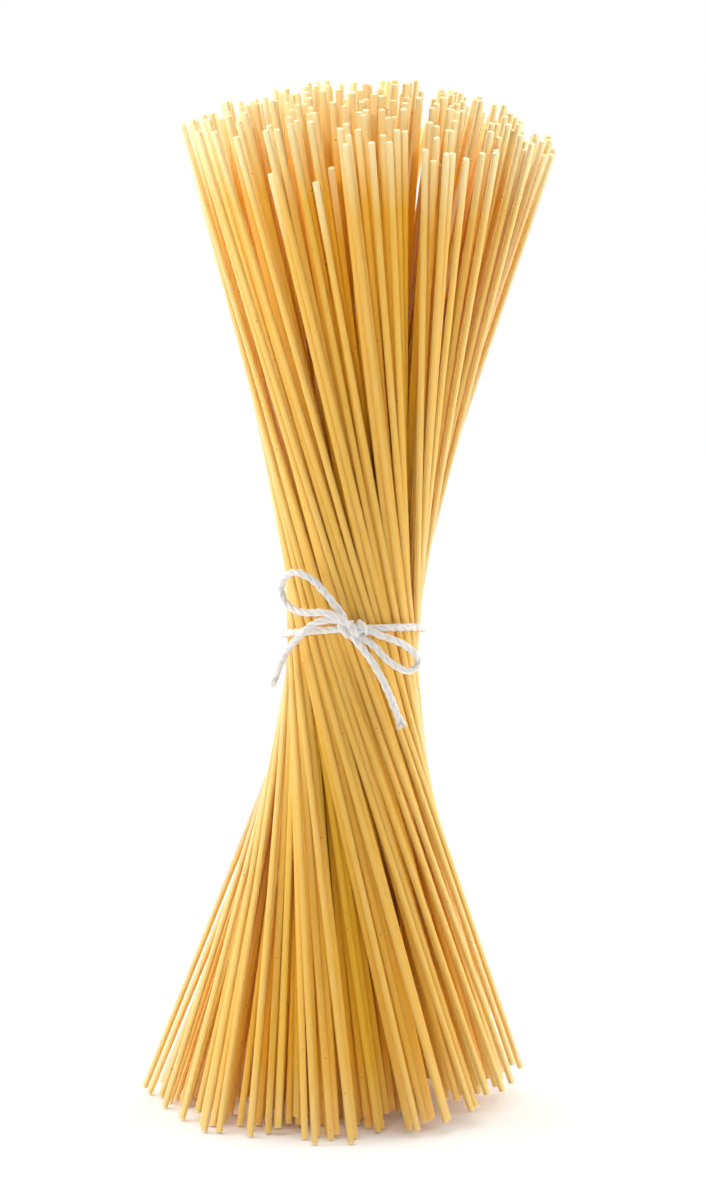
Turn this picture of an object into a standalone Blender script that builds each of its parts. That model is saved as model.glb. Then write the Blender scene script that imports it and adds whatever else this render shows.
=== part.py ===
"""A bundle of dry spaghetti, squeezed at its waist and tied with cotton twine in a bow.

Metres, +Z up. The origin is at the middle of the base and the front faces -Y.

Every noodle is straight and they all have about the same length. The bundle is twisted, so each
noodle crosses the waist on a slant and the bundle flares above and below it as a hyperboloid.
A place in the bundle is therefore given by where its noodle crosses the waist, and by its height.
"""
import math
import random

import bmesh
import bpy
from mathutils import Vector

MM = 0.001
FULL_TURN = 2 * math.pi
TINY_ANGLE = 1e-6

# The noodles
NOODLE_DIAMETER = 1.65 * MM
NOODLE_LENGTH = 252 * MM

# The bundle: how wide it is at the waist, and how far its noodles slant
WAIST_RADIUS = 16.3 * MM
OUTER_NOODLES = WAIST_RADIUS - NOODLE_DIAMETER / 2  # from the axis to the middle of an outer noodle
WAIST_HEIGHT = 114 * MM
SLANT_ABOVE = 22.5  # radians of twist per metre, above the waist
SLANT_BELOW = 25.4
BEND_LENGTH = 15 * MM  # the noodles bend this far either side of the tie, where the slant changes
LEAN = math.radians(2.0)  # the whole bundle leans to the right
BASE_CENTRE_X = -3.8 * MM  # so that the leaning bundle's box is centred on the origin

# The outer noodles are single ridges, and inside them a cell stands for a clump of noodles
RIDGES = 48
GROOVE_DEPTH = 0.4 * MM  # how far the grooves between ridges lie inside the middle of an outer noodle
CREST = (0.3, 0.7)  # where the crest's two edges lie across a ridge
RIDGE_SCATTER = 0.035  # the part of its radius by which a ridge may lie further in
CLUMP_RINGS = 4
CLUMPS_PER_RING = 6  # more in each ring than in the ring inside it
RING_TURN = 2.4  # each ring of clumps starts this angle after the one inside it

# The uneven ends
SEED = 7
END_STEP = 0.5 * MM
TOP_SCATTER = 2.0 * MM
SHORT_NOODLES = 0.12  # the part of the outer noodles that end well below the others
SHORTEST_BY = (7 * MM, 16 * MM)
RAISED_AT_RIGHT = 6 * MM  # the bundle leans, so its ends are off the table at the right of the base
LEVEL_PART = 0.2  # right of the base's middle, they are still on the table for this part of its radius
RAISED_NOODLES = 0.3  # the part of the other cells that don't reach down to the table
RAISED_BY = (0.5 * MM, 3.5 * MM)
FLAT_MIDDLE = 4 * MM  # at the waist: inside this the noodles all stand on the table
ROW_OFFSETS = (8 * MM, 26 * MM, 50 * MM, 74 * MM, 98 * MM)  # rows of points, above and below the waist

# The twine
TWINE_DIAMETER = 1.7 * MM
TWINE_POINT_SPACING = 2.2 * MM
CLEARANCE = 0.3 * MM
TIE_HEIGHT = 116.8 * MM
TIE_TILT = math.radians(10.9)  # the loop of twine is higher at the front
TIE_ROLL = math.radians(2.5)  # and at the right
TIE_POINTS = 40
KNOT_SIZE = (3.1 * MM, 1.7 * MM, 1.75 * MM)  # half its width, depth and height
KNOT_OUT = 1.0 * MM  # its middle is this far in front of the twine that goes round

# The bow's routes, in millimetres from the middle of the knot: round the bundle to the right,
# upwards, and out from the middle of the twine that goes round the bundle.
LEFT_LOOP = [
    (-1.7, 0.9, 0.3), (-2.6, 3.6, 1.0), (-4.2, 6.0, 1.5), (-6.0, 8.6, 2.0), (-8.4, 11.6, 2.7),
    (-10.4, 13.0, 3.3), (-12.8, 13.5, 3.7), (-15.0, 12.2, 4.0), (-16.6, 9.0, 4.0), (-15.4, 5.8, 3.7),
    (-12.9, 4.4, 3.6), (-10.0, 4.0, 3.7), (-7.0, 4.4, 3.9), (-4.4, 4.0, 3.7), (-2.0, 2.4, 3.0),
    (-0.2, 0.4, 1.9),
]
LEFT_TAIL = [
    (-0.9, 0.4, 1.2), (-2.6, 2.0, 1.7), (-5.0, 2.4, 2.0), (-7.6, 1.8, 2.2), (-9.9, 0.4, 2.2),
    (-12.2, -1.9, 2.3), (-14.4, -4.3, 2.5), (-16.2, -6.3, 2.6), (-17.4, -8.3, 2.8),
    (-18.7, -10.8, 3.0), (-20.2, -14.2, 3.3),
]
RIGHT_LOOP = [
    (1.2, 0.7, 1.4), (3.4, -0.1, 1.7), (6.1, -1.5, 2.5), (8.4, -2.5, 3.0), (10.9, -4.0, 3.4),
    (13.0, -5.8, 3.7), (14.4, -7.8, 3.8), (14.2, -9.7, 3.7), (12.6, -10.6, 3.4), (10.6, -10.0, 3.0),
    (8.4, -8.4, 2.6), (6.6, -6.6, 2.2), (5.0, -4.5, 1.9), (3.0, -2.7, 1.6), (0.9, -1.3, 1.1),
]
RIGHT_TAIL = [
    (-0.8, -0.2, 1.2), (-0.2, -1.6, 1.6), (0.9, -3.0, 1.8), (2.2, -4.9, 1.9), (4.0, -7.6, 1.9),
    (5.6, -10.6, 1.8), (7.2, -14.0, 1.9), (8.6, -17.4, 2.0), (9.6, -20.2, 2.1), (10.8, -23.4, 2.3),
]
LEFT_WRAP = [(-2.9, 1.4, -0.2), (-2.9, 1.1, 1.3), (-2.3, 0.1, 2.3), (-1.5, -1.1, 1.5), (-1.2, -1.5, -0.1)]
MIDDLE_WRAP = [(-0.6, 1.4, 0.0), (-0.4, 1.1, 1.6), (0.1, 0.0, 2.7), (0.7, -1.1, 1.6), (0.9, -1.4, 0.0)]
RIGHT_WRAP = [(1.4, 1.5, 0.2), (1.7, 1.3, 1.5), (2.3, 0.4, 2.1), (2.9, -0.5, 1.4), (2.9, -0.9, 0.2)]

SPAGHETTI_COLOUR = (0.80, 0.50, 0.17, 1.0)
TWINE_COLOUR = (0.86, 0.84, 0.80, 1.0)


# --- Where a noodle runs ------------------------------------------------------------------------

def slant(height):
    """How far a noodle has moved sideways at this height, for each metre from the axis at the waist."""
    rise = height - WAIST_HEIGHT
    mean = (SLANT_ABOVE + SLANT_BELOW) / 2
    change = (SLANT_ABOVE - SLANT_BELOW) / 2
    return mean * rise + change * (math.hypot(rise, BEND_LENGTH) - BEND_LENGTH)


def axis_x(height):
    return BASE_CENTRE_X + height * math.tan(LEAN)


def noodle_point(distance, angle, height, outward=0.0):
    """Where the noodle that crosses the waist at this distance and angle is at this height."""
    sideways = slant(height)
    distance_here = distance * math.hypot(1, sideways) + outward
    angle_here = angle - math.atan(sideways)
    x = axis_x(height) + distance_here * math.cos(angle_here)
    return Vector((x, distance_here * math.sin(angle_here), height))


def top_of_noodle(waist_distance):
    """The height of the top of a noodle that stands on the table, this far from the axis at the waist."""
    run_below = math.hypot(1, SLANT_BELOW * waist_distance)
    run_above = math.hypot(1, SLANT_ABOVE * waist_distance)
    return WAIST_HEIGHT + (NOODLE_LENGTH - WAIST_HEIGHT * run_below) / run_above


# --- The bundle ---------------------------------------------------------------------------------

class Line:
    """A line that runs up the bundle with the noodles, and the points on it that the solid needs."""

    def __init__(self, distance, angle, heights=(), outward=0.0):
        self.distance = distance
        self.angle = angle % FULL_TURN
        self.heights = set(heights)
        self.outward = outward
        self.points = {}

    def add_points(self, mesh):
        for height in sorted(self.heights):
            place = noodle_point(self.distance, self.angle, height, self.outward)
            self.points[height] = mesh.verts.new(place)

    def between(self, low, high):
        return [self.points[height] for height in sorted(self.heights) if low <= height <= high]


class Cell:
    """A clump of noodles, or a single outer one, with its own bottom and top."""

    def __init__(self, lines, ends):
        self.lines = lines  # anticlockwise, seen from above
        self.bottom, self.top = ends
        for line in lines:
            line.heights.update(ends)

    def sides(self):
        return zip(self.lines, self.lines[1:] + self.lines[:1])


def cell_ends(chance, distance, angle, single):
    """The bottom and top of the cell at this place of the waist, in steps, so no wall is a sliver."""
    base_radius = OUTER_NOODLES * math.hypot(1, slant(0))
    to_the_right = (noodle_point(distance, angle, 0).x - axis_x(0)) / base_radius
    bottom = RAISED_AT_RIGHT * max(0, to_the_right - LEVEL_PART) / (1 - LEVEL_PART)
    if distance > FLAT_MIDDLE and chance.random() < RAISED_NOODLES:
        bottom += chance.uniform(*RAISED_BY)
    top = top_of_noodle(distance) + bottom - abs(chance.gauss(0, TOP_SCATTER))
    if single and chance.random() < SHORT_NOODLES:
        top -= chance.uniform(*SHORTEST_BY)
    return round(bottom / END_STEP) * END_STEP, round(top / END_STEP) * END_STEP


def side_lines(chance, start, width):
    """The groove where an outer noodle starts, and the two lines along its crest."""
    rows = [WAIST_HEIGHT] + [WAIST_HEIGHT + way * offset for offset in ROW_OFFSETS for way in (-1, 1)]
    middle = OUTER_NOODLES * (1 - RIDGE_SCATTER * chance.random())
    crest = [Line(middle, start + part * width, rows, NOODLE_DIAMETER / 2) for part in CREST]
    return [Line(OUTER_NOODLES - GROOVE_DEPTH, start, rows)] + crest


def end_pattern(chance):
    """Cells in rings round a middle one, each ring divided at its own angles, as in a stretcher-bond wall."""
    counts = [1] + [CLUMPS_PER_RING * ring for ring in range(1, CLUMP_RINGS + 1)] + [RIDGES]
    pitch = (WAIST_RADIUS - NOODLE_DIAMETER) / (CLUMP_RINGS + 0.5)
    outermost = len(counts) - 1
    circles = [[] for _ in counts]  # the lines on the circle that goes round each ring
    for ring, count in enumerate(counts[1:], start=1):
        width = FULL_TURN / count
        for number in range(count):
            start = RING_TURN * ring + width * number
            circles[ring - 1].append(Line(pitch * (ring - 0.5), start))
            if ring == outermost:
                circles[ring] += side_lines(chance, start, width)
            else:
                circles[ring].append(Line(pitch * (ring + 0.5), start))

    def arc(ring, start, width):
        from_start = [((line.angle - start + TINY_ANGLE) % FULL_TURN, line) for line in circles[ring]]
        inside = [pair for pair in from_start if pair[0] < width + 2 * TINY_ANGLE]
        return [line for _, line in sorted(inside, key=lambda pair: pair[0])]

    cells = [Cell(arc(0, 0, FULL_TURN - 2 * TINY_ANGLE), cell_ends(chance, 0, 0, single=False))]
    for ring, count in enumerate(counts[1:], start=1):
        width = FULL_TURN / count
        for number in range(count):
            start = RING_TURN * ring + width * number
            lines = arc(ring, start, width) + arc(ring - 1, start, width)[::-1]
            distance = min(pitch * ring, OUTER_NOODLES)
            ends = cell_ends(chance, distance, start + width / 2, single=ring == outermost)
            cells.append(Cell(lines, ends))
    return cells


def wall(mesh, left, right, low, high):
    """Triangles between two lines, from one height to another, that use every point on both."""
    one = left.between(low, high)
    other = right.between(low, high)
    while len(one) > 1 or len(other) > 1:
        if len(one) == 1 or (len(other) > 1 and other[1].co.z <= one[1].co.z):
            mesh.faces.new((one[0], other[0], other[1]))
            other.pop(0)
        else:
            mesh.faces.new((one[0], other[0], one[1]))
            one.pop(0)


def make_bundle(collection):
    """One closed solid, with a fluted side and stepped ends."""
    cells = end_pattern(random.Random(SEED))
    mesh = bmesh.new()
    owner = {side: cell for cell in cells for side in cell.sides()}
    for line in dict.fromkeys(line for cell in cells for line in cell.lines):
        line.add_points(mesh)
    for cell in cells:
        mesh.faces.new([line.points[cell.top] for line in cell.lines])
        mesh.faces.new([line.points[cell.bottom] for line in reversed(cell.lines)])
        for left, right in cell.sides():
            beside = owner.get((right, left))
            if beside is None:
                wall(mesh, left, right, cell.bottom, cell.top)
                continue
            if beside.top < cell.top:
                wall(mesh, left, right, beside.top, cell.top)
            if beside.bottom > cell.bottom:
                wall(mesh, left, right, cell.bottom, beside.bottom)
    bmesh.ops.triangulate(mesh, faces=[face for face in mesh.faces if len(face.verts) > 3])
    return mesh_object("spaghetti_bundle", mesh, collection)


# --- The twine ----------------------------------------------------------------------------------

def tie_radius():
    """From the bundle's axis to the middle of the twine, clear of the ridges at the twine's highest point."""
    highest = TIE_HEIGHT + WAIST_RADIUS * math.tan(TIE_TILT) + TWINE_DIAMETER
    outermost = OUTER_NOODLES * math.hypot(1, slant(highest)) + NOODLE_DIAMETER / 2
    return outermost + CLEARANCE + TWINE_DIAMETER / 2


def tie_point(angle, up=0.0, out=0.0):
    """A place near the tie: angle from the front, to the right, then up and out from its middle line."""
    radius = tie_radius() + out
    x = radius * math.sin(angle)
    y = -radius * math.cos(angle)
    height = TIE_HEIGHT + tie_radius() * math.tan(TIE_TILT) + up
    return Vector((x + axis_x(TIE_HEIGHT), y, height))


def round_the_bundle():
    """The middle line of the twine round the waist, in a tilted plane."""
    points = []
    for number in range(TIE_POINTS):
        angle = FULL_TURN * number / TIE_POINTS
        drop = tie_radius() * (1 - math.cos(angle)) * math.tan(TIE_TILT)
        points.append(tie_point(angle, up=tie_radius() * math.sin(angle) * math.tan(TIE_ROLL) - drop))
    return points


def smooth_route(route):
    """Evenly spaced points on a smooth curve through a route of (around, up, out) in millimetres."""
    corners = [tie_point(around * MM / tie_radius(), up * MM, out * MM) for around, up, out in route]
    padded = [2 * corners[0] - corners[1]] + corners + [2 * corners[-1] - corners[-2]]
    fine = []
    for before, start, end, after in zip(padded, padded[1:], padded[2:], padded[3:]):
        for step in range(12):
            part = step / 12
            fine.append(0.5 * (2 * start + (end - before) * part
                               + (2 * before - 5 * start + 4 * end - after) * part ** 2
                               + (3 * start - before - 3 * end + after) * part ** 3))
    fine.append(corners[-1])
    travelled = [0.0]
    for start, end in zip(fine, fine[1:]):
        travelled.append(travelled[-1] + (end - start).length)
    count = max(3, round(travelled[-1] / TWINE_POINT_SPACING))
    points = []
    segment = 0
    for number in range(count + 1):
        wanted = travelled[-1] * number / count
        while segment < len(fine) - 2 and travelled[segment + 1] < wanted:
            segment += 1
        length = travelled[segment + 1] - travelled[segment]
        points.append(fine[segment].lerp(fine[segment + 1], (wanted - travelled[segment]) / length))
    return points


def twine_mesh(name, points, collection, closed=False):
    """A round length of twine along the points, as a mesh with welded ends."""
    data = bpy.data.curves.new(name, "CURVE")
    data.dimensions = "3D"
    data.bevel_depth = TWINE_DIAMETER / 2
    data.bevel_resolution = 2
    data.use_fill_caps = not closed
    spline = data.splines.new("POLY")
    spline.points.add(len(points) - 1)
    spline.use_cyclic_u = closed
    for spline_point, point in zip(spline.points, points):
        spline_point.co = (*point, 1.0)
    curve = bpy.data.objects.new(name + "_route", data)
    collection.objects.link(curve)
    bpy.context.view_layer.update()
    solid = bpy.data.meshes.new_from_object(curve.evaluated_get(bpy.context.evaluated_depsgraph_get()))
    bpy.data.objects.remove(curve)
    welded = bmesh.new()
    welded.from_mesh(solid)
    bmesh.ops.remove_doubles(welded, verts=welded.verts, dist=0.01 * MM)
    bmesh.ops.recalc_face_normals(welded, faces=welded.faces)
    welded.to_mesh(solid)
    welded.free()
    twine = bpy.data.objects.new(name, solid)
    collection.objects.link(twine)
    return twine


def knot_core(collection):
    """The middle of the knot, which every length of twine runs into."""
    mesh = bmesh.new()
    bmesh.ops.create_uvsphere(mesh, u_segments=12, v_segments=8, radius=1)
    bmesh.ops.scale(mesh, vec=KNOT_SIZE, verts=mesh.verts)
    bmesh.ops.translate(mesh, vec=tie_point(0, out=KNOT_OUT), verts=mesh.verts)
    return mesh_object("knot_core", mesh, collection)


def make_tie(collection, workshop):
    """One length of twine: round the waist, into the knot, and out as two loops and two tails."""
    tie = twine_mesh("twine_tie", round_the_bundle(), collection, closed=True)
    routes = {
        "left_loop": LEFT_LOOP, "left_tail": LEFT_TAIL,
        "right_loop": RIGHT_LOOP, "right_tail": RIGHT_TAIL,
        "left_wrap": LEFT_WRAP, "middle_wrap": MIDDLE_WRAP, "right_wrap": RIGHT_WRAP,
    }
    lengths = [knot_core(workshop)]
    lengths += [twine_mesh(name, smooth_route(route), workshop) for name, route in routes.items()]
    for length in lengths:
        length.hide_render = True
        length.display_type = "WIRE"
        union = tie.modifiers.new("with_" + length.name, "BOOLEAN")
        union.operation = "UNION"
        union.solver = "EXACT"
        union.object = length
    return tie


# --- Materials and assembly ---------------------------------------------------------------------

def mesh_object(name, mesh, collection):
    data = bpy.data.meshes.new(name)
    mesh.to_mesh(data)
    mesh.free()
    made = bpy.data.objects.new(name, data)
    collection.objects.link(made)
    return made


def plain_material(name, colour, roughness):
    material = bpy.data.materials.new(name)
    material.use_nodes = True
    shader = material.node_tree.nodes["Principled BSDF"]
    shader.inputs["Base Color"].default_value = colour
    shader.inputs["Roughness"].default_value = roughness
    shader.inputs["Metallic"].default_value = 0.0
    return material


def new_collection(name):
    collection = bpy.data.collections.new(name)
    bpy.context.scene.collection.children.link(collection)
    return collection


def main():
    for old in list(bpy.data.objects):
        bpy.data.objects.remove(old)
    parts = new_collection("spaghetti bundle")
    workshop = new_collection("lengths of twine joined into the tie")
    bundle = make_bundle(parts)
    bundle.data.materials.append(plain_material("durum wheat pasta", SPAGHETTI_COLOUR, 0.45))
    tie = make_tie(parts, workshop)
    tie.data.materials.append(plain_material("cotton twine", TWINE_COLOUR, 0.9))


main()
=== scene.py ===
import math

import bpy
import numpy as np
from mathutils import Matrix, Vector


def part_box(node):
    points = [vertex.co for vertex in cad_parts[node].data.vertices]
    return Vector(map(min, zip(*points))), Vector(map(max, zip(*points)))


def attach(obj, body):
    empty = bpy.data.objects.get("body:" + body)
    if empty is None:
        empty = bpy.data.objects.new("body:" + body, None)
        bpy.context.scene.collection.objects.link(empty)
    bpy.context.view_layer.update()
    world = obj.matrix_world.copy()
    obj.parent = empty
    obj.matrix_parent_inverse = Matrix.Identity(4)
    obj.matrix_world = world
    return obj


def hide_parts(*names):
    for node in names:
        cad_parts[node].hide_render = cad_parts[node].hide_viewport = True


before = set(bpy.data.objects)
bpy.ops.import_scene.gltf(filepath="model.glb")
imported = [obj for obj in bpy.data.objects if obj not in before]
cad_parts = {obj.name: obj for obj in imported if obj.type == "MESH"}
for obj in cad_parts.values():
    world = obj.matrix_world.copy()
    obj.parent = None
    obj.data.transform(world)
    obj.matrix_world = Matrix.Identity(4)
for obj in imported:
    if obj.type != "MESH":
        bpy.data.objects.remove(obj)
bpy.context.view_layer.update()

MM = 0.001
FULL_TURN = 2 * math.pi
GOLDEN_ANGLE = math.pi * (3 - math.sqrt(5))
SEED = 41

# The noodles, as in the model's own source
NOODLE_DIAMETER = 1.65 * MM
NOODLE_LENGTH = 251.9 * MM
WAIST_RADIUS = 16.3 * MM
OUTER_NOODLES = WAIST_RADIUS - NOODLE_DIAMETER / 2  # from the axis to the middle of an outer noodle
WAIST_HEIGHT = 114 * MM
SLANT_ABOVE = 22.5  # radians of twist per metre, above the waist
SLANT_BELOW = 25.4
BEND_LENGTH = 15 * MM  # over which one slant turns into the other, at the waist
LEAN = math.radians(2.0)
BASE_CENTRE_X = -3.8 * MM
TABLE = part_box("spaghetti_bundle")[0][2]

# How the noodles differ
NOODLES = 300
PLACE_SCATTER = 0.12 * MM
CLUMPS = 30  # noodles cling together in clumps, which leaves darker clefts between them
CLUMP_SCATTER = 0.8 * MM
CLING = 0.42  # how far a clump's noodles run parallel, where 1 would be wholly
CLING_LEAST = 0.4  # a clump has this share of CLING, and up to CLING_VARIES more
CLING_VARIES = 1.2
STRAY_SLOPE = 0.006  # a noodle's own slant, in radians
BOW = 0.5 * MM  # how far a noodle's ends curve aside
BOW_REACH = 130 * MM  # from the waist to where it has curved that far
THICKNESS_SCATTER = 0.012
TOP_SCATTER = 2.0 * MM
STANDS_OUT_ABOVE = 1.2 * MM
STANDS_OUT_BELOW = 0.8 * MM
SHORT_NOODLES = 0.08  # the share of them that is shorter, and by how much
SHORTEST_BY = (5 * MM, 14 * MM)
RAISED_AT_RIGHT = 6 * MM  # how far the base rises to the right, from LEVEL_PART of its radius
LEVEL_PART = 0.2
RAISED_NOODLES = 0.3  # the share of them that isn't down on the table, and by how much
RAISED_BY = (0.5 * MM, 3.5 * MM)
FLAT_MIDDLE = 4 * MM  # the radius, at the waist, within which all of them are down
CLEAR_OF_TABLE = 0.05 * MM

# How the noodles settle beside each other at their waist
SETTLE_AT = np.array([-108, -88, -68, -50, -34, -20, -8, 3, 14, 26, 40, 56, 74, 94, 116, 136]) * MM
SETTLE_ROUNDS = 60
SETTLE_GAP = 1.005 * NOODLE_DIAMETER  # between two noodles' middles
SETTLE_HASTE = 1.3  # how much more they move than the overlaps ask for
SETTLE_HOLD = (1e-3, 1e-6, 1e-6)  # what holds back a noodle's place, and its slants
TIGHT_REACH = 15 * MM  # above and below the waist, where the twine leaves them no room
LOOSE_ROOM = 1 * MM

# How light falls on the noodles
SOFTNESS = 4.0  # how far the light on a noodle is shared across its outer side
LIT_FROM = -0.6  # how far out of the bundle a surface faces where it starts to share that light
LIT_OVER = 0.8  # how much further out it faces where it shares all of it
DEEP_SHADE_FROM = 0.04  # how far inwards noodles start to get painted shade, a deeper amber, as a share of the bundle's radius
DEEP_SHADE_FULL = 0.22  # how far inwards they are wholly so
NEAR_AXIS = 0.35  # the share of the bundle's radius within which there is no way out
TIP_GLOW_REACH = 19 * MM  # the noodles' ends are painted paler, a painted glow of light shining through the tips
TIP_GLOW_FADE = 1.2
TIP_GLOW_TOP = 1.0
TIP_GLOW_BOTTOM = 0.3
TONE = 0.5  # where a noodle lies, on average, between the two colours of pasta
TONE_SCATTER = 0.3

# The noodles' mesh
NOODLE_SIDES = 12
BODY_RINGS = 18
RINGS_TO_WAIST = 1.25  # above 1, the rings lie closer together near the waist
END_RINGS = ((0.45 * MM, 1.0, 0.0), (0.12 * MM, 0.95, 0.6), (0.0, 0.80, 1.0))  # inside the end, width, cut
CUT_SLANT = math.radians(9)
CUT_DEPTH = 0.1 * MM

# The core, hidden among the noodles where they are packed tight
CORE_REACH = 36 * MM  # above and below the waist
CORE_SHARE = 0.5  # of the bundle's radius
CORE_RINGS = 16
CORE_SIDES = 24

# The flat map for baking, where each noodle has a strip with a disc at each end for its cuts.
# All but the first two are shares of that strip.
MAP_COLUMNS = 3
MAP_STEP = 0.8 * MM  # the least that a step between two rings takes up
MAP_ENDS = 0.04
MAP_SIDES = 0.06
DISC_MIDDLE = 0.02
DISC_LENGTH = 0.015
DISC_WIDTH = 0.4

# The patterns in the materials: how far apart their marks are, across and along
DRAW_LINES = (0.35 * MM, 0.35 * MM, 14 * MM)  # drawn coarser than real ones, which wouldn't show
STARCH_CLOUDS = (2 * MM, 2 * MM, 6 * MM)
BRAN_SPACING = 3.4 * MM
FLECK_SPACING = 2.9 * MM
COTTON_FIBRES = (0.12 * MM, 0.12 * MM, 1.6 * MM)

# The twine's place, as in the model's own source
TIE_RADIUS = 17.7 * MM
TIE_HEIGHT = 116.8 * MM
TIE_TILT = math.radians(10.9)
TIE_ROLL = math.radians(2.5)
BAND_POINTS = 72
KNOT_LENGTH = 5.0 * MM  # of the twine hidden inside the knot, which fills it
KNOT_RADIUS = 1.5 * MM
KNOT_OUT = 0.9 * MM
KNOT_RINGS = 13
KNOT_BLUNTNESS = 1.02  # above 1, so that its ends don't come to a point

# The bow's routes, in millimetres from the middle of the knot: round the bundle to the right,
# upwards, and out from the middle of the twine that goes round the bundle.
LEFT_LOOP = [
    (-1.7, 0.9, 0.3), (-2.6, 3.6, 1.0), (-4.2, 6.0, 1.5), (-6.0, 8.6, 2.0), (-8.4, 11.6, 2.7),
    (-10.4, 13.0, 3.3), (-12.8, 13.5, 3.7), (-15.0, 12.2, 4.0), (-16.6, 9.0, 4.0), (-15.4, 5.8, 3.7),
    (-12.9, 4.4, 3.6), (-10.0, 4.0, 3.7), (-7.0, 4.4, 3.9), (-4.4, 4.0, 3.7), (-2.0, 2.4, 3.0),
    (-0.2, 0.4, 1.9),
]
LEFT_TAIL = [
    (-0.9, 0.4, 1.2), (-2.6, 2.0, 1.7), (-5.0, 2.4, 2.0), (-7.6, 1.8, 2.2), (-9.9, 0.4, 2.2),
    (-12.2, -1.9, 2.3), (-14.4, -4.3, 2.5), (-16.2, -6.3, 2.6), (-17.4, -8.3, 2.8),
    (-18.7, -10.8, 3.0), (-20.2, -14.2, 3.3),
]
RIGHT_LOOP = [
    (1.2, 0.7, 1.4), (3.4, -0.1, 1.7), (6.1, -1.5, 2.5), (8.4, -2.5, 3.0), (10.9, -4.0, 3.4),
    (13.0, -5.8, 3.7), (14.4, -7.8, 3.8), (14.2, -9.7, 3.7), (12.6, -10.6, 3.4), (10.6, -10.0, 3.0),
    (8.4, -8.4, 2.6), (6.6, -6.6, 2.2), (5.0, -4.5, 1.9), (3.0, -2.7, 1.6), (0.9, -1.3, 1.1),
]
RIGHT_TAIL = [
    (-0.8, -0.2, 1.2), (-0.2, -1.6, 1.6), (0.9, -3.0, 1.8), (2.2, -4.9, 1.9), (4.0, -7.6, 1.9),
    (5.6, -10.6, 1.8), (7.2, -14.0, 1.9), (8.6, -17.4, 2.0), (9.6, -20.2, 2.1), (10.8, -23.4, 2.3),
]
LEFT_WRAP = [(-2.9, 1.4, -0.2), (-2.9, 1.1, 1.3), (-2.3, 0.1, 2.3), (-1.5, -1.1, 1.5), (-1.2, -1.5, -0.1)]
MIDDLE_WRAP = [(-0.6, 1.4, 0.0), (-0.4, 1.1, 1.6), (0.1, 0.0, 2.7), (0.7, -1.1, 1.6), (0.9, -1.4, 0.0)]
RIGHT_WRAP = [(1.4, 1.5, 0.2), (1.7, 1.3, 1.5), (2.3, 0.4, 2.1), (2.9, -0.5, 1.4), (2.9, -0.9, 0.2)]
CURVE_STEPS = 16  # from one of a route's places to the next, on its smooth curve

# How the twine is laid: three plies round each other
PLIES = 3
PLY_RADIUS = 0.55 * MM
LAY_RADIUS = 0.38 * MM  # from the twine's middle to a ply's
PITCH = 7.5 * MM
PLY_STEP = 0.33 * MM
PLY_SIDES = 8
WANDER = 0.06  # how much a ply strays in and out, as a share, and over what length
WANDER_LENGTH = 2.3 * MM
SLUB = 0.07  # how much its thickness varies, and over what length
SLUB_LENGTH = 1.7 * MM
PARTING_REACH = 2.6 * MM  # how far from a cut end the plies part
TAPER_LEAST = 0.3

# Its loose fibres
FIBRE_SIDES = 3
FIBRE_ROOT = 0.75 * MM  # from the twine's middle to where they come out
FUZZ_PER_MM = 2.4
FUZZ_LENGTHS = (0.5, 1.5)  # in millimetres
FUZZ_THICKNESS = 0.026 * MM
FUZZ_LEAN = 0.9
FUZZ_CURL = 0.5
FUZZ_POINTS = 5
FRAY_BEFORE = 1.2 * MM  # from where frayed fibres part to the cut end
FRAY_CURL = 0.16
FRAY_POINTS = 6
FRAY_HEADING = -6  # the point of a tail from which its end's direction is taken

# The tails' cut ends: how many fibres, and their length, spread and thickness
LEFT_FRAY = (46, 3.4 * MM, 0.15 * MM, 0.05 * MM)  # a thin, straight brush
RIGHT_FRAY = (90, 1.3 * MM, 0.9 * MM, 0.06 * MM)  # a short, wide one
LEFT_TAPER = 3 * MM
RIGHT_PARTING = 0.8

# The camera, just above the height of the noodles' tips
CAMERA_TARGET = Vector((0.2 * MM, 0, 124.5 * MM))
CAMERA_FROM_TARGET = Vector((0, -1.2, 0.1855))
SENSOR_WIDTH = 36  # both in millimetres
LENS = 149

# The studio, in metres and watts
FLOOR_REACH = 1.3
FLOOR_SIDES = 48
MIDDLE_OF_BUNDLE = (0, 0, 0.12)
PANELS = (  # each one's place, width and power
    ("left_panel", (-2.3, 0.2, 0.7), 3.0, 76),
    ("right_panel", (2.3, 0.35, 0.7), 3.0, 64),
    ("left_rear_window", (-1.3, 2.0, 0.6), 1.5, 38),
    ("right_rear_window", (1.3, 2.0, 0.6), 1.5, 40),
    ("front_panel", (-0.2, -2.5, 0.6), 1.2, 2),
    ("overhead", (0, 0.2, 2.4), 2.0, 54),
)
BEAMS = (  # each one's place, what it is aimed at, and its power
    ("top_beam", (-0.3, -1.9, 1.1), (0, 0, 0.28), 118),
    ("foot_beam", (0.2, -1.9, 0.35), (0, 0, 0.0), 34),
)
BEAM_ANGLE = math.radians(6.0)
BEAM_SOURCE = 0.12
ROOM_LIGHT = 0.08  # how brightly the white room lights the bundle, and how bright it looks itself
ROOM_SEEN = 1.0
LIGHT_BOUNCES = 16
NOODLE_BOUNCES = 8  # light passes from noodle to noodle many times


# --- Camera ---------------------------------------------------------------------------------------

def turned(place, aim):
    """How a camera or light at place is turned to face aim."""
    return (Vector(aim) - Vector(place)).to_track_quat("-Z", "Y").to_euler()


def set_camera():
    """A camera that looks slightly down on the bundle."""
    place = CAMERA_TARGET + CAMERA_FROM_TARGET
    data = bpy.data.cameras.new("camera")
    data.sensor_width = SENSOR_WIDTH
    data.lens = LENS
    camera = bpy.data.objects.new("camera", data)
    camera.location = place
    camera.rotation_euler = turned(place, CAMERA_TARGET)
    bpy.context.scene.collection.objects.link(camera)
    bpy.context.scene.camera = camera


# --- Meshes from arrays -----------------------------------------------------------------------------

def unit(vectors):
    """The same directions, each with length 1."""
    return vectors / np.linalg.norm(vectors, axis=-1, keepdims=True)


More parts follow.
